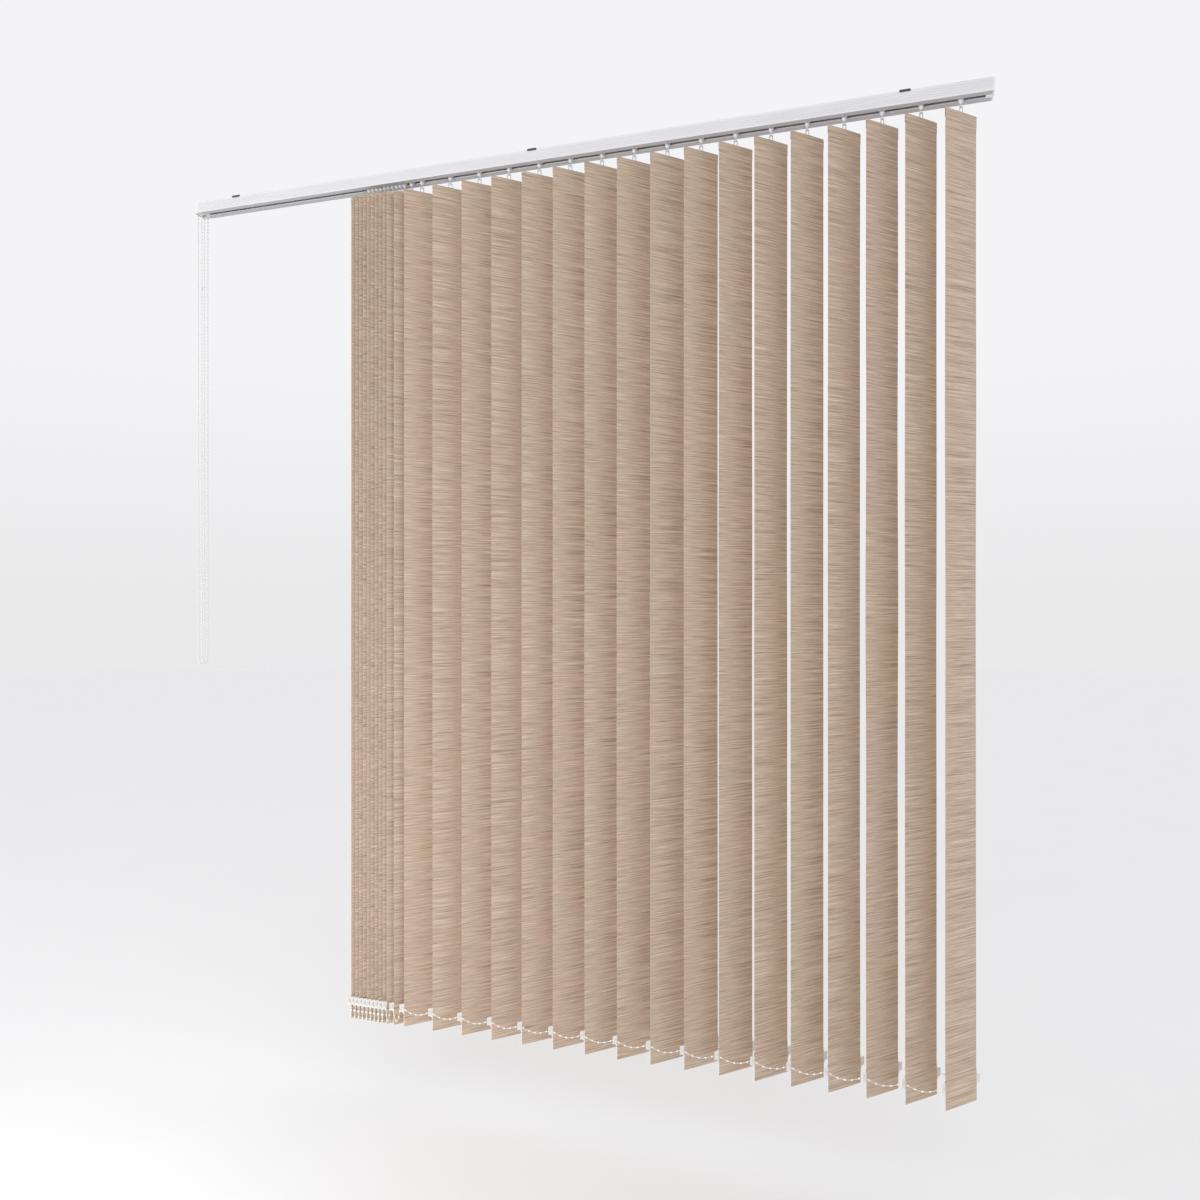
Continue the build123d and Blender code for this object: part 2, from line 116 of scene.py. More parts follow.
# Sizes and looks that only this file holds
BEAD_STRETCH = 1.08
CHAIN_CORD = 0.65 * MM
LINK_BEAD_STRETCH = 1.45
LINK_CORD = 0.45 * MM
CONNECTOR_RADIUS = 1.7 * MM
WEFT_PITCH = 0.75 * MM
WARP_PITCH = 0.62 * MM
FLOOR_Z = -2.26
FLOOR_RADIUS = 16


def tilt_joint(number):
    """The joint that turns a louvre: the last louvre's leads, and the others follow it."""
    return "tilt" if number == LOUVRES else f"tilt_{number:02d}"


joints = {joint["name"]: joint for joint in frame["joints"]}
louvre_x = {n: joints[tilt_joint(n)]["pos_m"][0] for n in range(1, LOUVRES + 1)}


def hung_at(number):
    """Where a louvre hangs: on its own axis, at the photograph's angle."""
    return Matrix.Translation((louvre_x[number], 0, 0)) @ Matrix.Rotation(LOUVRE_ANGLE, 4, "Z")


# ---------------------------------------------------------------- materials


def node(tree, kind, inputs=None, **settings):
    """A new shader node. Each of its inputs is a constant, or a socket to link."""
    made = tree.nodes.new("ShaderNode" + kind)
    for key, value in settings.items():
        setattr(made, key, value)
    for key, value in (inputs or {}).items():
        if isinstance(value, bpy.types.NodeSocket):
            tree.links.new(value, made.inputs[key])
        else:
            made.inputs[key].default_value = value
    return made


def maths(tree, operation, first, second=0.0, third=0.0):
    """One Math node's result."""
    values = {0: first, 1: second}
    if operation == "MULTIPLY_ADD":
        values[2] = third
    return node(tree, "Math", values, operation=operation).outputs[0]


def noise(tree, vector, scale, detail=3.0, roughness=0.55):
    """A noise texture's factor."""
    inputs = {"Vector": vector, "Scale": scale, "Detail": detail, "Roughness": roughness}
    return node(tree, "TexNoise", inputs).outputs[0]


def stretched(tree, vector, scales, offset=(0, 0, 0)):
    """Coordinates scaled along each axis and moved."""
    inputs = {"Vector": vector, "Scale": scales, "Location": offset}
    return node(tree, "Mapping", inputs).outputs[0]


def ramp(tree, factor, stops):
    """A colour ramp over (position, colour) stops."""
    made = node(tree, "ValToRGB", {0: factor})
    elements = made.color_ramp.elements
    for index, (position, colour) in enumerate(stops):
        element = elements[index] if index < 2 else elements.new(position)
        element.position = position
        element.color = (*colour, 1.0)
    return made.outputs[0]


def mixed(tree, factor, first, second, blend="MIX"):
    """Two colours mixed."""
    inputs = {0: factor, 6: first, 7: second}  # the sockets of a Mix node that mixes colours
    return node(tree, "Mix", inputs, data_type="RGBA", blend_type=blend).outputs[2]


def shader(name, **constants):
    """A material with one Principled shader, and the constants set on its sockets."""
    made = bpy.data.materials.new(name)
    made.use_nodes = True
    tree = made.node_tree
    tree.nodes.clear()
    principled = node(tree, "BsdfPrincipled", {k.replace("_", " "): v for k, v in constants.items()})
    node(tree, "OutputMaterial", {"Surface": principled.outputs[0]})
    return made, tree, principled


def plug(tree, principled, **sockets):
    """Links sockets into the shader's inputs."""
    for key, socket in sockets.items():
        tree.links.new(socket, principled.inputs[key.replace("_", " ")])


def bump(tree, height, distance, strength=1.0, under=None):
    """A bump from a height, over another bump where there is one."""
    inputs = {"Height": height, "Distance": distance, "Strength": strength}
    if under is not None:
        inputs["Normal"] = under
    return node(tree, "Bump", inputs).outputs[0]


def place(tree):
    """The piece's own coordinates."""
    return node(tree, "TexCoord").outputs["Object"]


def fabric_material():
    """Slubbed cloth: weft threads of uneven thickness and colour run across each louvre."""
    made, tree, principled = shader("louvre_cloth", Roughness=0.88, Sheen_Weight=0.22, Sheen_Roughness=0.45)
    principled.inputs["Specular IOR Level"].default_value = 0.25
    seed = node(tree, "Attribute", attribute_name="cloth_seed").outputs["Fac"]
    here = place(tree)
    shift = node(tree, "CombineXYZ", {0: seed, 1: 0.0, 2: maths(tree, "MULTIPLY", seed, 0.37)}).outputs[0]
    moved = node(tree, "VectorMath", {0: here, 1: shift}, operation="ADD").outputs[0]
    long_slub = noise(tree, stretched(tree, moved, (9, 1, 400)), 1.0, 3.0, 0.58)
    short_slub = noise(tree, stretched(tree, moved, (26, 1, 900), (7, 0, 3)), 1.0, 3.0, 0.6)
    band = noise(tree, stretched(tree, moved, (2, 1, 60), (2, 0, 9)), 1.0, 3.0, 0.6)
    tint = noise(tree, stretched(tree, moved, (7, 1, 240), (5, 0, 4)), 1.0, 2.0)
    beiges = [
        (0.28, (0.360, 0.262, 0.188)),
        (0.42, (0.560, 0.436, 0.332)),
        (0.52, (0.655, 0.525, 0.413)),
        (0.62, (0.735, 0.610, 0.497)),
        (0.76, (0.890, 0.795, 0.690)),
    ]
    ground = ramp(tree, long_slub, beiges)
    pale = (1.18, 1.17, 1.15)
    fine = ramp(tree, short_slub, [(0.30, (0.74, 0.71, 0.68)), (0.55, (1, 1, 1)), (0.75, pale)])
    colour = mixed(tree, 0.75, ground, fine, "MULTIPLY")
    soft_band = ramp(tree, band, [(0.3, (0.96, 0.955, 0.95)), (0.7, (1.03, 1.03, 1.03))])
    colour = mixed(tree, 1.0, colour, soft_band, "MULTIPLY")
    rosy = ramp(tree, tint, [(0.52, (1, 1, 1)), (0.72, (1.08, 0.95, 0.89))])
    colour = mixed(tree, 0.7, colour, rosy, "MULTIPLY")
    parts = node(tree, "SeparateXYZ", {0: here})
    wobble = noise(tree, stretched(tree, moved, (60, 1, 60)), 1.0, 2.0)
    drift = maths(tree, "MULTIPLY", wobble, 6.0)
    weft = maths(tree, "MULTIPLY_ADD", parts.outputs[2], 2 * math.pi / WEFT_PITCH, drift)
    warp = maths(tree, "MULTIPLY", parts.outputs[0], 2 * math.pi / WARP_PITCH)
    weave = maths(tree, "MULTIPLY", maths(tree, "SINE", weft), maths(tree, "SINE", warp))
    thread = maths(tree, "MULTIPLY_ADD", weave, 0.5, 0.5)
    woven = ramp(tree, thread, [(0.0, (0.90, 0.89, 0.88)), (1.0, (1.04, 1.04, 1.04))])
    colour = mixed(tree, 1.0, colour, woven, "MULTIPLY")
    relief = bump(tree, thread, 0.12 * MM, 0.5)
    relief = bump(tree, long_slub, 0.7 * MM, 0.45, relief)
    relief = bump(tree, short_slub, 0.35 * MM, 0.5, relief)
    rough = maths(tree, "MULTIPLY_ADD", short_slub, 0.18, 0.78)
    plug(tree, principled, Base_Color=colour, Normal=relief, Roughness=rough)
    return made


def plastic_material(name, colour, roughness, ripple=0.02, scale=900.0, **constants):
    """Moulded plastic: a fine spark texture, and soft flow marks in its colour and gloss."""
    made, tree, principled = shader(name, **constants)
    here = place(tree)
    flow = noise(tree, stretched(tree, here, (40, 90, 90)), 1.0, 4.0)
    spark = noise(tree, here, scale, 2.0)
    darker = tuple(channel * 0.93 for channel in colour)
    tinted = ramp(tree, flow, [(0.3, darker), (0.7, colour)])
    rough = maths(tree, "MULTIPLY_ADD", flow, 0.16, roughness - 0.08)
    relief = bump(tree, spark, ripple * MM, 0.6)
    relief = bump(tree, flow, 0.05 * MM, 0.4, relief)
    plug(tree, principled, Base_Color=tinted, Roughness=rough, Normal=relief)
    return made


def painted_metal(name, colour, roughness, streak, under=None, **constants):
    """Coated metal: orange peel, faint draw lines along X, a little dust, and painted shade on faces that
    point down, where a shade colour is given.
    """
    made, tree, principled = shader(name, **constants)
    here = place(tree)
    peel = noise(tree, here, 520.0, 2.0)
    lines = noise(tree, stretched(tree, here, (1.5, 420, 420)), 1.0, 2.0)
    dust = noise(tree, stretched(tree, here, (5, 30, 30)), 1.0, 5.0, 0.65)
    darker = tuple(channel * 0.94 for channel in colour)
    tinted = ramp(tree, dust, [(0.35, darker), (0.6, colour)])
    lined = ramp(tree, lines, [(0.3, (1 - streak,) * 3), (0.6, (1, 1, 1))])
    colour_out = mixed(tree, 1.0, tinted, lined, "MULTIPLY")
    # Painted shade: faces whose normal points down are blended towards the shade colour, standing in for
    # the shade under the rail.
    if under is not None:
        facing = node(tree, "SeparateXYZ", {0: node(tree, "TexCoord").outputs["Normal"]}).outputs[2]
        painted_shade_mask = node(tree, "MapRange", {0: facing, 1: -0.6, 2: -0.9, 3: 0.0, 4: 1.0}).outputs[0]
        colour_out = mixed(tree, painted_shade_mask, colour_out, (*under, 1.0))
    rough = maths(tree, "MULTIPLY_ADD", dust, 0.14, roughness - 0.07)
    relief = bump(tree, peel, 0.06 * MM, 0.35)
    relief = bump(tree, lines, 0.03 * MM, 0.4, relief)
    plug(tree, principled, Base_Color=colour_out, Roughness=rough, Normal=relief)
    return made


def cord_material():
    """A braided polyester cord."""
    made, tree, principled = shader("cord_braid", Roughness=0.8, Sheen_Weight=0.3)
    parts = node(tree, "SeparateXYZ", {0: place(tree)})
    along, across = 4200.0, 3600.0
    lays = []
    for slope in (across, -across):
        rise = maths(tree, "MULTIPLY", parts.outputs[2], slope)
        lays.append(maths(tree, "SINE", maths(tree, "MULTIPLY_ADD", parts.outputs[0], along, rise)))
    braid = maths(tree, "MULTIPLY", lays[0], lays[1])
    strands = maths(tree, "MULTIPLY_ADD", braid, 0.5, 0.5)
    colour = ramp(tree, strands, [(0.1, (0.62, 0.61, 0.59)), (0.7, (0.84, 0.83, 0.80))])
    plug(tree, principled, Base_Color=colour, Normal=bump(tree, strands, 0.15 * MM, 0.8))
    return made


FABRIC = fabric_material()
# The second rail colour is painted shade for the rail's underside, not a paint of its own.
RAIL_WHITE, RAIL_PAINTED_SHADE = (0.725, 0.720, 0.740), (0.42, 0.412, 0.414)
WAXY = {"Subsurface_Weight": 0.1, "Subsurface_Scale": 0.002}
GLASSY = {"Transmission_Weight": 0.35, "IOR": 1.49}
RAIL = painted_metal("rail_powder_coat", RAIL_WHITE, 0.38, 0.025, RAIL_PAINTED_SHADE)
WHITE = plastic_material("cap_plastic", (0.77, 0.768, 0.75), 0.32)
NATURAL = plastic_material("truck_plastic", (0.78, 0.78, 0.80), 0.38, **WAXY)
MILKY = plastic_material("hanger_plastic", (0.72, 0.725, 0.735), 0.36, **WAXY)
CLEAR = plastic_material("hook_plastic", (0.80, 0.81, 0.84), 0.26, 0.008, **GLASSY)
WEIGHT = plastic_material("weight_plastic", (0.84, 0.835, 0.825), 0.34)
BEADS = plastic_material("bead_plastic", (0.78, 0.775, 0.76), 0.24, 0.01)
LINKS = plastic_material("link_bead_plastic", (0.90, 0.86, 0.79), 0.26, 0.01)
STEEL = painted_metal("clip_steel", (0.085, 0.085, 0.08), 0.42, 0.12, Metallic=0.6)
ALLOY = painted_metal("rod_aluminium", (0.66, 0.67, 0.69), 0.30, 0.18, Metallic=1.0)
CORD = cord_material()

finishes = {
    "headrail": RAIL,
    "brackets": STEEL,
    "control_housing": WHITE,
    "idler_cap": NATURAL,
    "traverse_cord": CORD,
    "tilt_rod": ALLOY,
    "chain_joiner": BEADS,
}
for name, cad in frame["nodes"].items():
    cad.data.materials.clear()
    cad.data.materials.append(finishes.get(name, NATURAL))
    cad.data.set_sharp_from_angle(angle=math.radians(35))


# ---------------------------------------------------------------- mesh tools


def new_piece(name, mesh, material, body, matrix=None):
    """A shown piece that rides on a body."""
    mesh.materials.clear()
    mesh.materials.append(material)
    made = bpy.data.objects.new(name, mesh)
    bpy.context.scene.collection.objects.link(made)
    if matrix is not None:
        made.matrix_world = matrix
    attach(made, body)
    return made


def nurbs_points(points, resolution):
    """The points along a smooth NURBS line through a route's control points."""
    curve = bpy.data.curves.new("route", "CURVE")
    curve.dimensions = "3D"
    curve.resolution_u = resolution
    spline = curve.splines.new("NURBS")
    spline.points.add(len(points) - 1)
    for target, point in zip(spline.points, points):
        target.co = (*point, 1.0)
    spline.order_u = 3
    spline.use_endpoint_u = True
    carrier = bpy.data.objects.new("route", curve)
    mesh = bpy.data.meshes.new_from_object(carrier)
    found = [vertex.co.copy() for vertex in mesh.vertices]
    bpy.data.objects.remove(carrier)
    bpy.data.curves.remove(curve)
    bpy.data.meshes.remove(mesh)
    return found


def frames_along(points):
    """(point, tangent, side, up) at each point, turned as little as possible from one to the next."""
    found, side = [], None
    for index, point in enumerate(points):
        before = points[max(index - 1, 0)]
        after = points[min(index + 1, len(points) - 1)]
        tangent = (after - before).normalized()
        if side is None:
            side = tangent.orthogonal().normalized()
        side = (side - tangent * side.dot(tangent)).normalized()
        found.append((point, tangent, side, tangent.cross(side)))
    return found


def add_tube(bm, points, radius, sides):
    """A closed round tube along points."""
    rings = []
    for point, _, side, up in frames_along(points):
        ring = []
        for step in range(sides):
            turn = 2 * math.pi * step / sides
            ring.append(bm.verts.new(point + (side * math.cos(turn) + up * math.sin(turn)) * radius))
        rings.append(ring)
    for first, second in zip(rings, rings[1:]):
        for step in range(sides):
            after = (step + 1) % sides
            bm.faces.new((first[step], first[after], second[after], second[step]))
    bm.faces.new(reversed(rings[0]))
    bm.faces.new(rings[-1])


def add_bead(bm, centre, tangent, radius, stretch):
    """A bead, longer than wide by stretch along the chain."""
    turn = tangent.to_track_quat("Z", "Y").to_matrix().to_4x4()
    matrix = Matrix.Translation(centre) @ turn @ Matrix.Diagonal((1, 1, stretch, 1))
    bmesh.ops.create_uvsphere(bm, u_segments=10, v_segments=6, radius=radius, matrix=matrix)


def stations(points, pitch, start):
    """(point, tangent) at even steps along a line, the first of them at start."""
    found, travelled, due = [], 0.0, start
    for first, second in zip(points, points[1:]):
        run = (second - first).length
        while run > 0 and due <= travelled + run:
            share = (due - travelled) / run
            found.append((first.lerp(second, share), (second - first).normalized()))
            due += pitch
        travelled += run
    return found


def lathe(bm, profile, segments):
    """A turned shape about Z from (radius, z) points."""
    rings = []
    on_axis = 1e-7
    for radius, z in profile:
        if radius < on_axis:
            rings.append([bm.verts.new((0, 0, z))])
            continue
        turns = [2 * math.pi * step / segments for step in range(segments)]
        rings.append([bm.verts.new((radius * math.cos(t), radius * math.sin(t), z)) for t in turns])
    for first, second in zip(rings, rings[1:]):
        for step in range(segments):
            after = (step + 1) % segments
            corners = [first[step % len(first)], second[step % len(second)]]
            corners += [second[after % len(second)], first[after % len(first)]]
            unique = list(dict.fromkeys(corners))
            if len(unique) > 2:
                bm.faces.new(unique)


def finished(bm, name, degrees):
    """A mesh from bmesh: its faces turned outward, and smooth but for edges sharper than the angle."""
    bmesh.ops.recalc_face_normals(bm, faces=bm.faces)
    mesh = bpy.data.meshes.new(name)
    bm.to_mesh(mesh)
    bm.free()
    for face in mesh.polygons:
        face.use_smooth = True
    mesh.set_sharp_from_angle(angle=math.radians(degrees))
    return mesh


def line_length(points):
    """The length of a line through points."""
    return sum((after - before).length for before, after in zip(points, points[1:]))


def flat_plate(name, outlines, thickness, bevel):
    """A flat moulding of X-Z outlines, the first its rim and the others its holes."""
    curve = bpy.data.curves.new(name, "CURVE")
    curve.dimensions = "2D"
    curve.fill_mode = "BOTH"
    curve.extrude = thickness / 2 - bevel
    curve.bevel_depth = bevel
    curve.bevel_resolution = 2
    curve.offset = -bevel
    for outline in outlines:
        spline = curve.splines.new("POLY")
        spline.points.add(len(outline) - 1)
        spline.use_cyclic_u = True
        for target, (x, z) in zip(spline.points, outline):
            target.co = (x, z, 0, 1)
    carrier = bpy.data.objects.new(name, curve)
    mesh = bpy.data.meshes.new_from_object(carrier)
    bpy.data.objects.remove(carrier)
    bpy.data.curves.remove(curve)
    mesh.transform(Matrix.Rotation(math.radians(90), 4, "X"))
    bm = bmesh.new()
    bm.from_mesh(mesh)
    bpy.data.meshes.remove(mesh)
    bmesh.ops.remove_doubles(bm, verts=bm.verts, dist=1e-6)
    return finished(bm, name, 30)


def arc(centre, radius, start, end, steps):
    """Points on an arc, from one angle to another, in degrees."""
    turns = [math.radians(start + (end - start) * step / steps) for step in range(steps + 1)]
    return [(centre[0] + radius * math.cos(t), centre[1] + radius * math.sin(t)) for t in turns]


# ---------------------------------------------------------------- louvre pieces


def eased(steps, first=0):
    """(share, eased share) at even steps from 0 to 1."""
    shares = [step / steps for step in range(first, steps + 1)]
    return [(share, share * share * (3 - 2 * share)) for share in shares]


def cloth_path():
    """(y, z) of the cloth's middle: from the top hem's end, over, down, and round the bottom hem."""
    back, front = LAYER, -LAYER
    top, low = LOUVRE_TOP - CLOTH / 2, LOUVRE_BOTTOM + CLOTH / 2
    top_steps, bottom_steps, rows = 4, 7, 84
    top_taper, bottom_taper, tail = 9 * MM, 12 * MM, 3 * MM
    join_top, join_low = top - TOP_HEM - LAYER, low + BOTTOM_HEM
    main_top, main_low = join_top - top_taper, join_low + bottom_taper
    fall = (BOTTOM_HEM - LAYER) / bottom_steps

    path = [(back / 2, top - TOP_HEM - tail)]
    path += [(back, top - TOP_HEM + step * TOP_HEM / top_steps) for step in range(top_steps)]
    path += arc((0, top - LAYER), LAYER, 0, 180, 6)
    path += [(front, top - LAYER - step * TOP_HEM / top_steps) for step in range(1, top_steps + 1)]
    path += [(front * (1 - ease), join_top - share * top_taper) for share, ease in eased(4, 1)]
    path += [(0.0, main_top + (main_low - main_top) * step / rows) for step in range(1, rows)]
    path += [(front * ease, main_low - share * bottom_taper) for share, ease in eased(4)]
    path += [(front, join_low - step * fall) for step in range(1, bottom_steps)]
    path += arc((0, low + LAYER), LAYER, 180, 360, 6)
    path += [(back, low + LAYER + step * fall) for step in range(1, bottom_steps)]
    return [*path, (back, join_low), (back / 2, join_low + tail)]


def cloth_sway(draw):
    """How far out of its plane a louvre's cloth hangs, by x and z: bowed, waved and a little twisted."""
    bow = draw.uniform(0.7, 1.5) * MM
    wave = [
        (draw.uniform(0.15, 0.45) * MM, draw.uniform(1.2, 3.4), draw.uniform(0, 6.3))
        for _ in range(3)
    ]
    twist = draw.uniform(-0.010, 0.010)

    def sway(x, z):
        across = x / LOUVRE_HALF
        down = min(max((LOUVRE_TOP - z) / (LOUVRE_TOP - LOUVRE_BOTTOM), 0.0), 1.0)
        hung = math.sin(math.pi * min(down * 1.04, 1.0))
        found = bow * (0.25 + 0.75 * hung) * (across * across - 0.33) + hung * twist * x
        for size, turns, phase in wave:
            found += hung * size * across * math.sin(turns * 2 * math.pi * down + phase)
        return found

    return sway


def cloth_mesh(number):
    """One louvre's cloth, with its two faces, its edges and its ends."""
    draw = random.Random(900 + number)
    sway = cloth_sway(draw)
    path = cloth_path()
    columns = 10
    bm = bmesh.new()
    faces = []
    for side in (-1, 1):
        grid = []
        for index, (y, z) in enumerate(path):
            before, after = path[max(index - 1, 0)], path[min(index + 1, len(path) - 1)]
            dy, dz = after[0] - before[0], after[1] - before[1]
            offset = side * CLOTH / 2 / math.hypot(dy, dz)
            row = []
            for column in range(columns + 1):
                x = (2 * column / columns - 1) * LOUVRE_HALF
                row.append(bm.verts.new((x, y + sway(x, z) - dz * offset, z + dy * offset)))
            grid.append(row)
        faces.append(grid)

    first, second = faces
    for grid in faces:
        for upper, lower in zip(grid, grid[1:]):
            for column in range(columns):
                corners = (upper[column], upper[column + 1], lower[column + 1], lower[column])
                bm.faces.new(corners[::-1] if grid is first else corners)
    last = len(path) - 1
    for index in range(last):
        for column in (0, columns):
            edge = (first[index], first[index + 1], second[index + 1], second[index])
            bm.faces.new([row[column] for row in edge])
    for index in (0, last):
        for column in range(columns):
            near, far = first[index], second[index]
            bm.faces.new((near[column], near[column + 1], far[column + 1], far[column]))
    mesh = finished(bm, f"cloth_{number:02d}", 50)
    seed = mesh.attributes.new("cloth_seed", "FLOAT", "POINT")
    seed.data.foreach_set("value", [draw.uniform(0, 60)] * len(mesh.vertices))
    return mesh


def mirrored(right):
    """A whole outline from its right half."""
    return right + [(-x, z) for x, z in reversed(right)]


def weight_mesh():
    """The bottom weight: a plate with a round-cornered ear past each edge, and a hole in each ear."""
    low, high = LOUVRE_BOTTOM + 0.7 * MM, LOUVRE_BOTTOM + WEIGHT_HEIGHT
    ear_low = high - EAR_HEIGHT
    root_x, root_z = EAR_REACH + 0.5 * MM, ear_low - 9.0 * MM
    corner = 2.0 * MM
    right = [(WEIGHT_HALF, low), (WEIGHT_HALF, root_z)]
    right += arc((root_x, root_z), root_x - WEIGHT_HALF, 180, 112, 8)
    right += arc((EAR_REACH - corner, ear_low + corner), corner, -60, 0, 3)
    right += arc((EAR_REACH - corner, high - corner), corner, 0, 90, 5)
    hole_z = LOUVRE_BOTTOM + EAR_HOLE_HEIGHT
    holes = [arc((side * EAR_HOLE, hole_z), EAR_HOLE_RADIUS, 0, 345, 23) for side in (-1, 1)]
    return flat_plate("weight", [mirrored(right), *holes], PLATE, 0.2 * MM)


def ear_rim_mesh():
    """The raised rims round the ears' holes, on both faces."""
    bm = bmesh.new()
    rim_radius, rim_wire = 2.6 * MM, 0.35 * MM
    hole_z = LOUVRE_BOTTOM + EAR_HOLE_HEIGHT
    for side in (-1, 1):
        ring = arc((side * EAR_HOLE, hole_z), rim_radius, 0, 360, 20)
        for face in (-1, 1):
            add_tube(bm, [Vector((x, face * PLATE / 2, z)) for x, z in ring], rim_wire, 6)
    return finished(bm, "ear_rims", 50)


def hanger_mesh():
    """The hanger: a stiff plate in the top hem, with a round-cornered ring standing out of it."""
    base, low = LOUVRE_TOP - 0.7 * MM, LOUVRE_TOP - TOP_HEM + 1 * MM
    half, corner, eye_corner = 41.0 * MM, 1.8 * MM, 0.8 * MM
    right = [(half, low), (half, base), (RING_HALF, base)]
    right += arc((RING_HALF - corner, RING_TOP - corner), corner, 0, 90, 6)
    eye_x = RING_HALF - RING_BAR - eye_corner
    eye_top, eye_low = RING_TOP - RING_BAR - eye_corner, base + eye_corner
    eye = []
    for x, z, start in (
        (eye_x, eye_top, 0),
        (-eye_x, eye_top, 90),
        (-eye_x, eye_low, 180),
        (eye_x, eye_low, 270),
    ):
        eye += arc((x, z), eye_corner, start, start + 90, 4)
    return flat_plate("hanger", [mirrored(right), eye], PLATE, 0.25 * MM)


def in_metres(points):
    """Points given in millimetres."""
    return [tuple(value * MM for value in point) for point in points]


def ball_mesh():
    """The spindle above the hook: stem, collar, and ball with its parting line."""
    profile = in_metres([(0, -21.1), (4.3, -21.1), (4.3, -22.9), (3.0, -22.9), (3.0, -26.6)])
    profile += [(max(radius, 0), z) for radius, z in arc((0, BALL_Z), BALL_RADIUS, 62, -80, 18)]
    profile += in_metres([(1.9, -36.9), (1.5, -37.6), (0, -37.6)])
    turns = 28
    bm = bmesh.new()
    lathe(bm, profile, turns)
    seam = arc((0, 0), BALL_RADIUS, 0, 360, turns)
    add_tube(bm, [Vector((x, y, BALL_Z)) for x, y in seam], 0.12 * MM, 6)
    return finished(bm, "ball", 40)


def hook_mesh():
    """The clear neck and the hook that goes through the hanger's ring."""
    bm = bmesh.new()
    route = [Vector((0, y, z)) for y, z in in_metres(HOOK_ROUTE)]
    add_tube(bm, nurbs_points(route, 8), 0.95 * MM, 12)
    neck = [(0, -36.6), (1.5, -36.6), (1.3, -37.6), (0.95, -38.6), (0, -38.6)]
    lathe(bm, in_metres(neck), 16)
    return finished(bm, "hook", 40)


weight, rims, hanger = weight_mesh(), ear_rim_mesh(), hanger_mesh()
ball, hook = ball_mesh(), hook_mesh()
for number in range(1, LOUVRES + 1):
    tag = f"{number:02d}"
    body = f"louvre_{tag}"
    matrix = hung_at(number)
    cloth = new_piece(f"cloth_{tag}", cloth_mesh(number), FABRIC, body, matrix)
    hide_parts(body)
    trims = [
        new_piece(f"weight_{tag}", weight, WEIGHT, body, matrix),
        new_piece(f"ear_rims_{tag}", rims, WEIGHT, body, matrix),
        new_piece(f"hanger_{tag}", hanger, MILKY, body, matrix),
    ]
    new_piece(f"spindle_{tag}", ball, NATURAL, body, matrix)
    new_piece(f"hook_{tag}", hook, CLEAR, body, matrix)


# ---------------------------------------------------------------- chains


def bead_chain(name, line, places, bead, stretch, cord_radius, material, body):
    """Beads at (point, tangent) places along a line, on a thin cord."""
    bm = bmesh.new()
    add_tube(bm, line, cord_radius, 6)
    for centre, tangent in places:
        add_bead(bm, centre, tangent, bead / 2, stretch)
    return new_piece(name, finished(bm, name, 80), material, body)


def operating_chain(name, wheel_x):
    """One hanging loop, and the beads over its wheel."""
    line = nurbs_points([Vector((wheel_x, y * MM, z * MM)) for y, z in LOOP_ROUTE], 24)
    turn = arc((0, ROD_Z), CHAIN_RADIUS, 180, 0, 24)
    over = [(-CHAIN_RADIUS, RAIL_BOTTOM), *turn, (CHAIN_RADIUS, RAIL_BOTTOM)]
    runs = {"beads": line, "wheel_beads": [Vector((wheel_x, y, z)) for y, z in over]}
    loop, top = [
        bead_chain(
            f"{name}_{part}", run, stations(run, BEAD_PITCH, BEAD_PITCH / 2), BEAD, BEAD_STRETCH,
            CHAIN_CORD, BEADS, "root",
        )
        for part, run in runs.items()
    ]
    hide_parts(name)


operating_chain("tilt_chain", TILT_WHEEL_X)
operating_chain("draw_chain", DRAW_WHEEL_X)


def link_route(first, last, side):
    """Control points from ear to ear, along the room side (-1) or the window side (1)."""
    reach = side * EAR_OFFSET
    ear_z = LOUVRE_BOTTOM + EAR_HOLE_HEIGHT
    points = []
    for number in range(first, last):
        start = louvre_x[number] + reach
        gap = round((louvre_x[number + 1] - louvre_x[number]) / MM)
        points += [Vector((start + x * MM, reach, ear_z + drop * MM)) for x, drop in SPAN_ROUTES[gap]]
    return points


def link_beads(line, first, last, side):
    """Even beads along each span, clear of the ears."""
    reach = side * EAR_OFFSET
    places = []
    for number in range(first, last):
        start, end = louvre_x[number] + reach, louvre_x[number + 1] + reach
        span = [point for point in line if start < point.x < end]
        lead_in = (line_length(span) - (LINK_BEADS - 1) * LINK_PITCH) / 2
        places += stations(span, LINK_PITCH, lead_in)[:LINK_BEADS]
    return places


def link_connectors(word, side):
    """A round connector in each ear's hole, riding with its louvre."""
    bm = bmesh.new()
    bmesh.ops.create_uvsphere(bm, u_segments=14, v_segments=10, radius=CONNECTOR_RADIUS)
    mesh = finished(bm, f"{word}_connector", 60)
    in_ear = Matrix.Translation((side * EAR_HOLE, 0, LOUVRE_BOTTOM + EAR_HOLE_HEIGHT))
    for number in range(1, LOUVRES + 1):
        name, body = f"{word}_connector_{number:02d}", f"louvre_{number:02d}"
        new_piece(name, mesh, LINKS, body, hung_at(number) @ in_ear)


# As the blind is drawn, the spread part is squashed towards the last louvre. The gathered part has to
# travel whole, so it is squashed very little, towards a point far enough away to carry it there.
for word, side in (("front", -1), ("rear", 1)):
    link_connectors(word, side)
    for part, first, last in (("gathered", 1, FIRST_SPREAD), ("spread", FIRST_SPREAD, LOUVRES)):
        line = nurbs_points(link_route(first, last, side), 8)
        chain = bead_chain(
            f"{word}_link_{part}", line, link_beads(line, first, last, side), LINK_BEAD,
            LINK_BEAD_STRETCH, LINK_CORD, LINKS, f"{word}_link",
        )
        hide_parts(f"{word}_link_chain")
        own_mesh(chain)


# ---------------------------------------------------------------- stage, light and camera


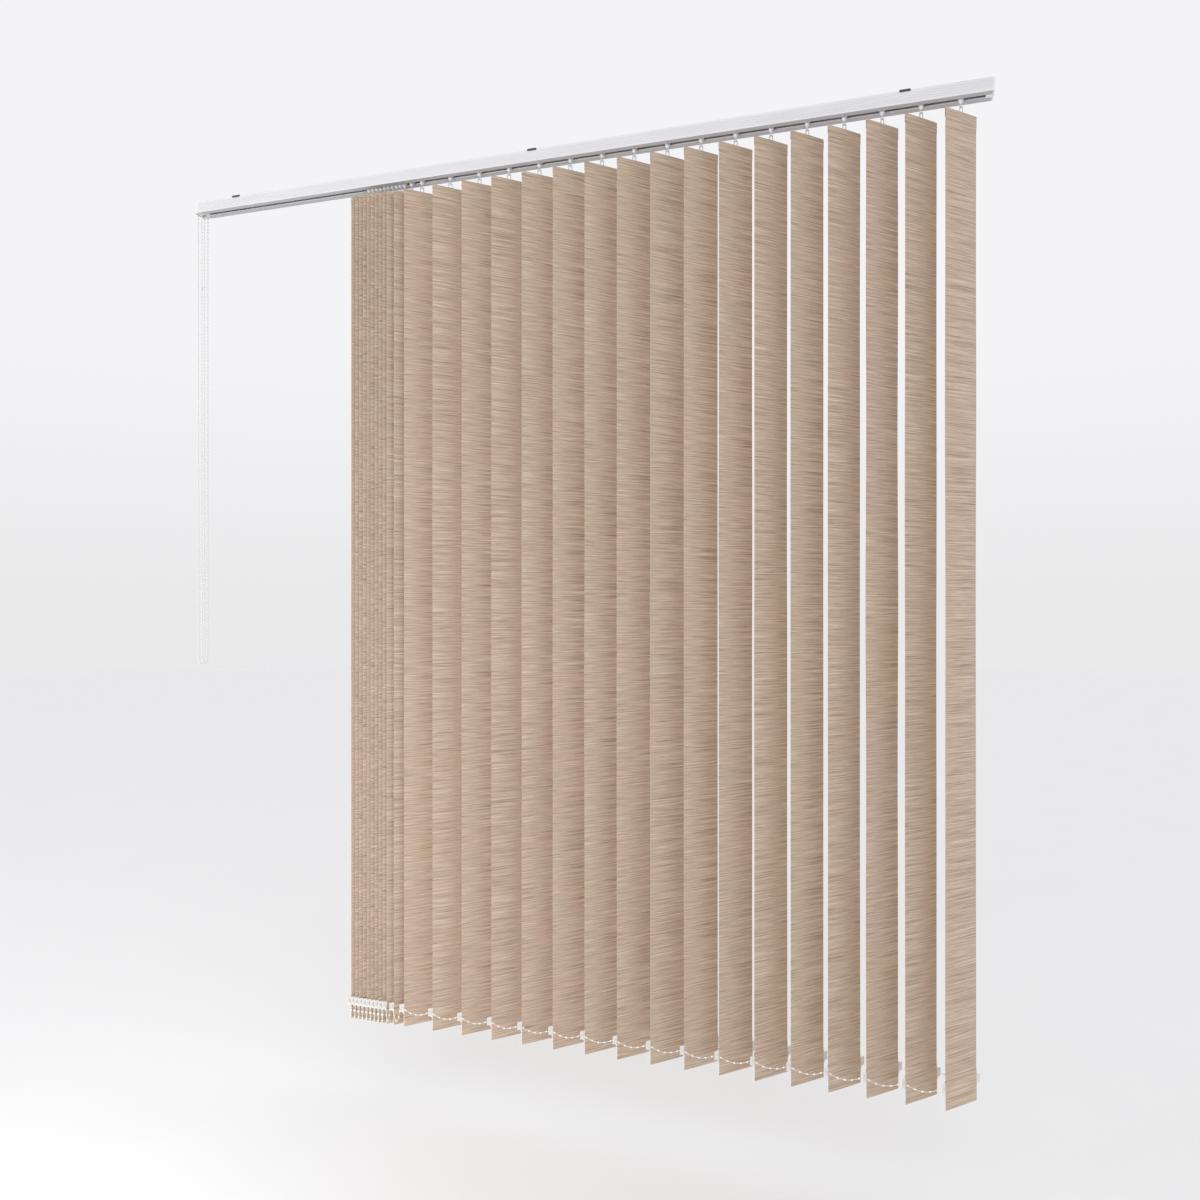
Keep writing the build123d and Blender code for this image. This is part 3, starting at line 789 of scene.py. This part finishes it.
def floor():
    """A plain pale floor."""
    mesh = bpy.data.meshes.new("floor")
    bm = bmesh.new()
    bmesh.ops.create_circle(bm, cap_ends=True, segments=64, radius=FLOOR_RADIUS)
    bm.to_mesh(mesh)
    bm.free()
    made = bpy.data.objects.new("floor", mesh)
    made.location = (0, 0, FLOOR_Z)
    bpy.context.scene.collection.objects.link(made)
    paint, tree, principled = shader("floor_paint", Roughness=0.7)
    marks = noise(tree, place(tree), 3.0, 3.0)
    pales = [(0.3, (0.886, 0.886, 0.886)), (0.7, (0.894, 0.894, 0.892))]
    plug(tree, principled, Base_Color=ramp(tree, marks, pales))
    mesh.materials.append(paint)


def area_light(name, location, target, size, energy, colour):
    """A soft square light aimed at a point."""
    data = bpy.data.lights.new(name, "AREA")
    data.shape = "SQUARE"
    data.size = size
    data.energy = energy
    data.color = colour
    made = bpy.data.objects.new(name, data)
    made.location = location
    made.rotation_euler = (Vector(target) - Vector(location)).to_track_quat("-Z", "Y").to_euler()
    bpy.context.scene.collection.objects.link(made)


def camera():
    """Level, at the blind's mid height, and turned a little to the left, as fitted to the photograph."""
    data = bpy.data.cameras.new("camera")
    data.sensor_width = 36.0
    data.lens = 27.753
    made = bpy.data.objects.new("camera", data)
    made.location = (0.8030, -2.0276, -1.0524)
    made.rotation_euler = (math.radians(90), 0, math.radians(17.59))
    bpy.context.scene.collection.objects.link(made)
    bpy.context.scene.camera = made


def world():
    """A pale surround, paler upward. It meets the floor's far edge at about the floor's own shade."""
    made = bpy.data.worlds.new("surround")
    made.use_nodes = True
    tree = made.node_tree
    height = node(tree, "SeparateXYZ", {0: node(tree, "TexCoord").outputs["Generated"]}).outputs[2]
    sky = ramp(tree, height, [(0.0, (0.818, 0.819, 0.828)), (0.25, (0.905, 0.905, 0.925))])
    tree.links.new(sky, tree.nodes["Background"].inputs[0])
    bpy.context.scene.world = made


floor()
world()
area_light("key", (-3.2, -4.3, -1.0), (0.0, 0, -1.5), 1.5, 84, (1.0, 0.985, 0.965))
area_light("low_fill", (-0.9, -1.5, -1.75), (0.05, 0, -1.95), 0.6, 7, (1.0, 0.99, 0.985))
camera()
bpy.context.scene.view_settings.view_transform = "Standard"
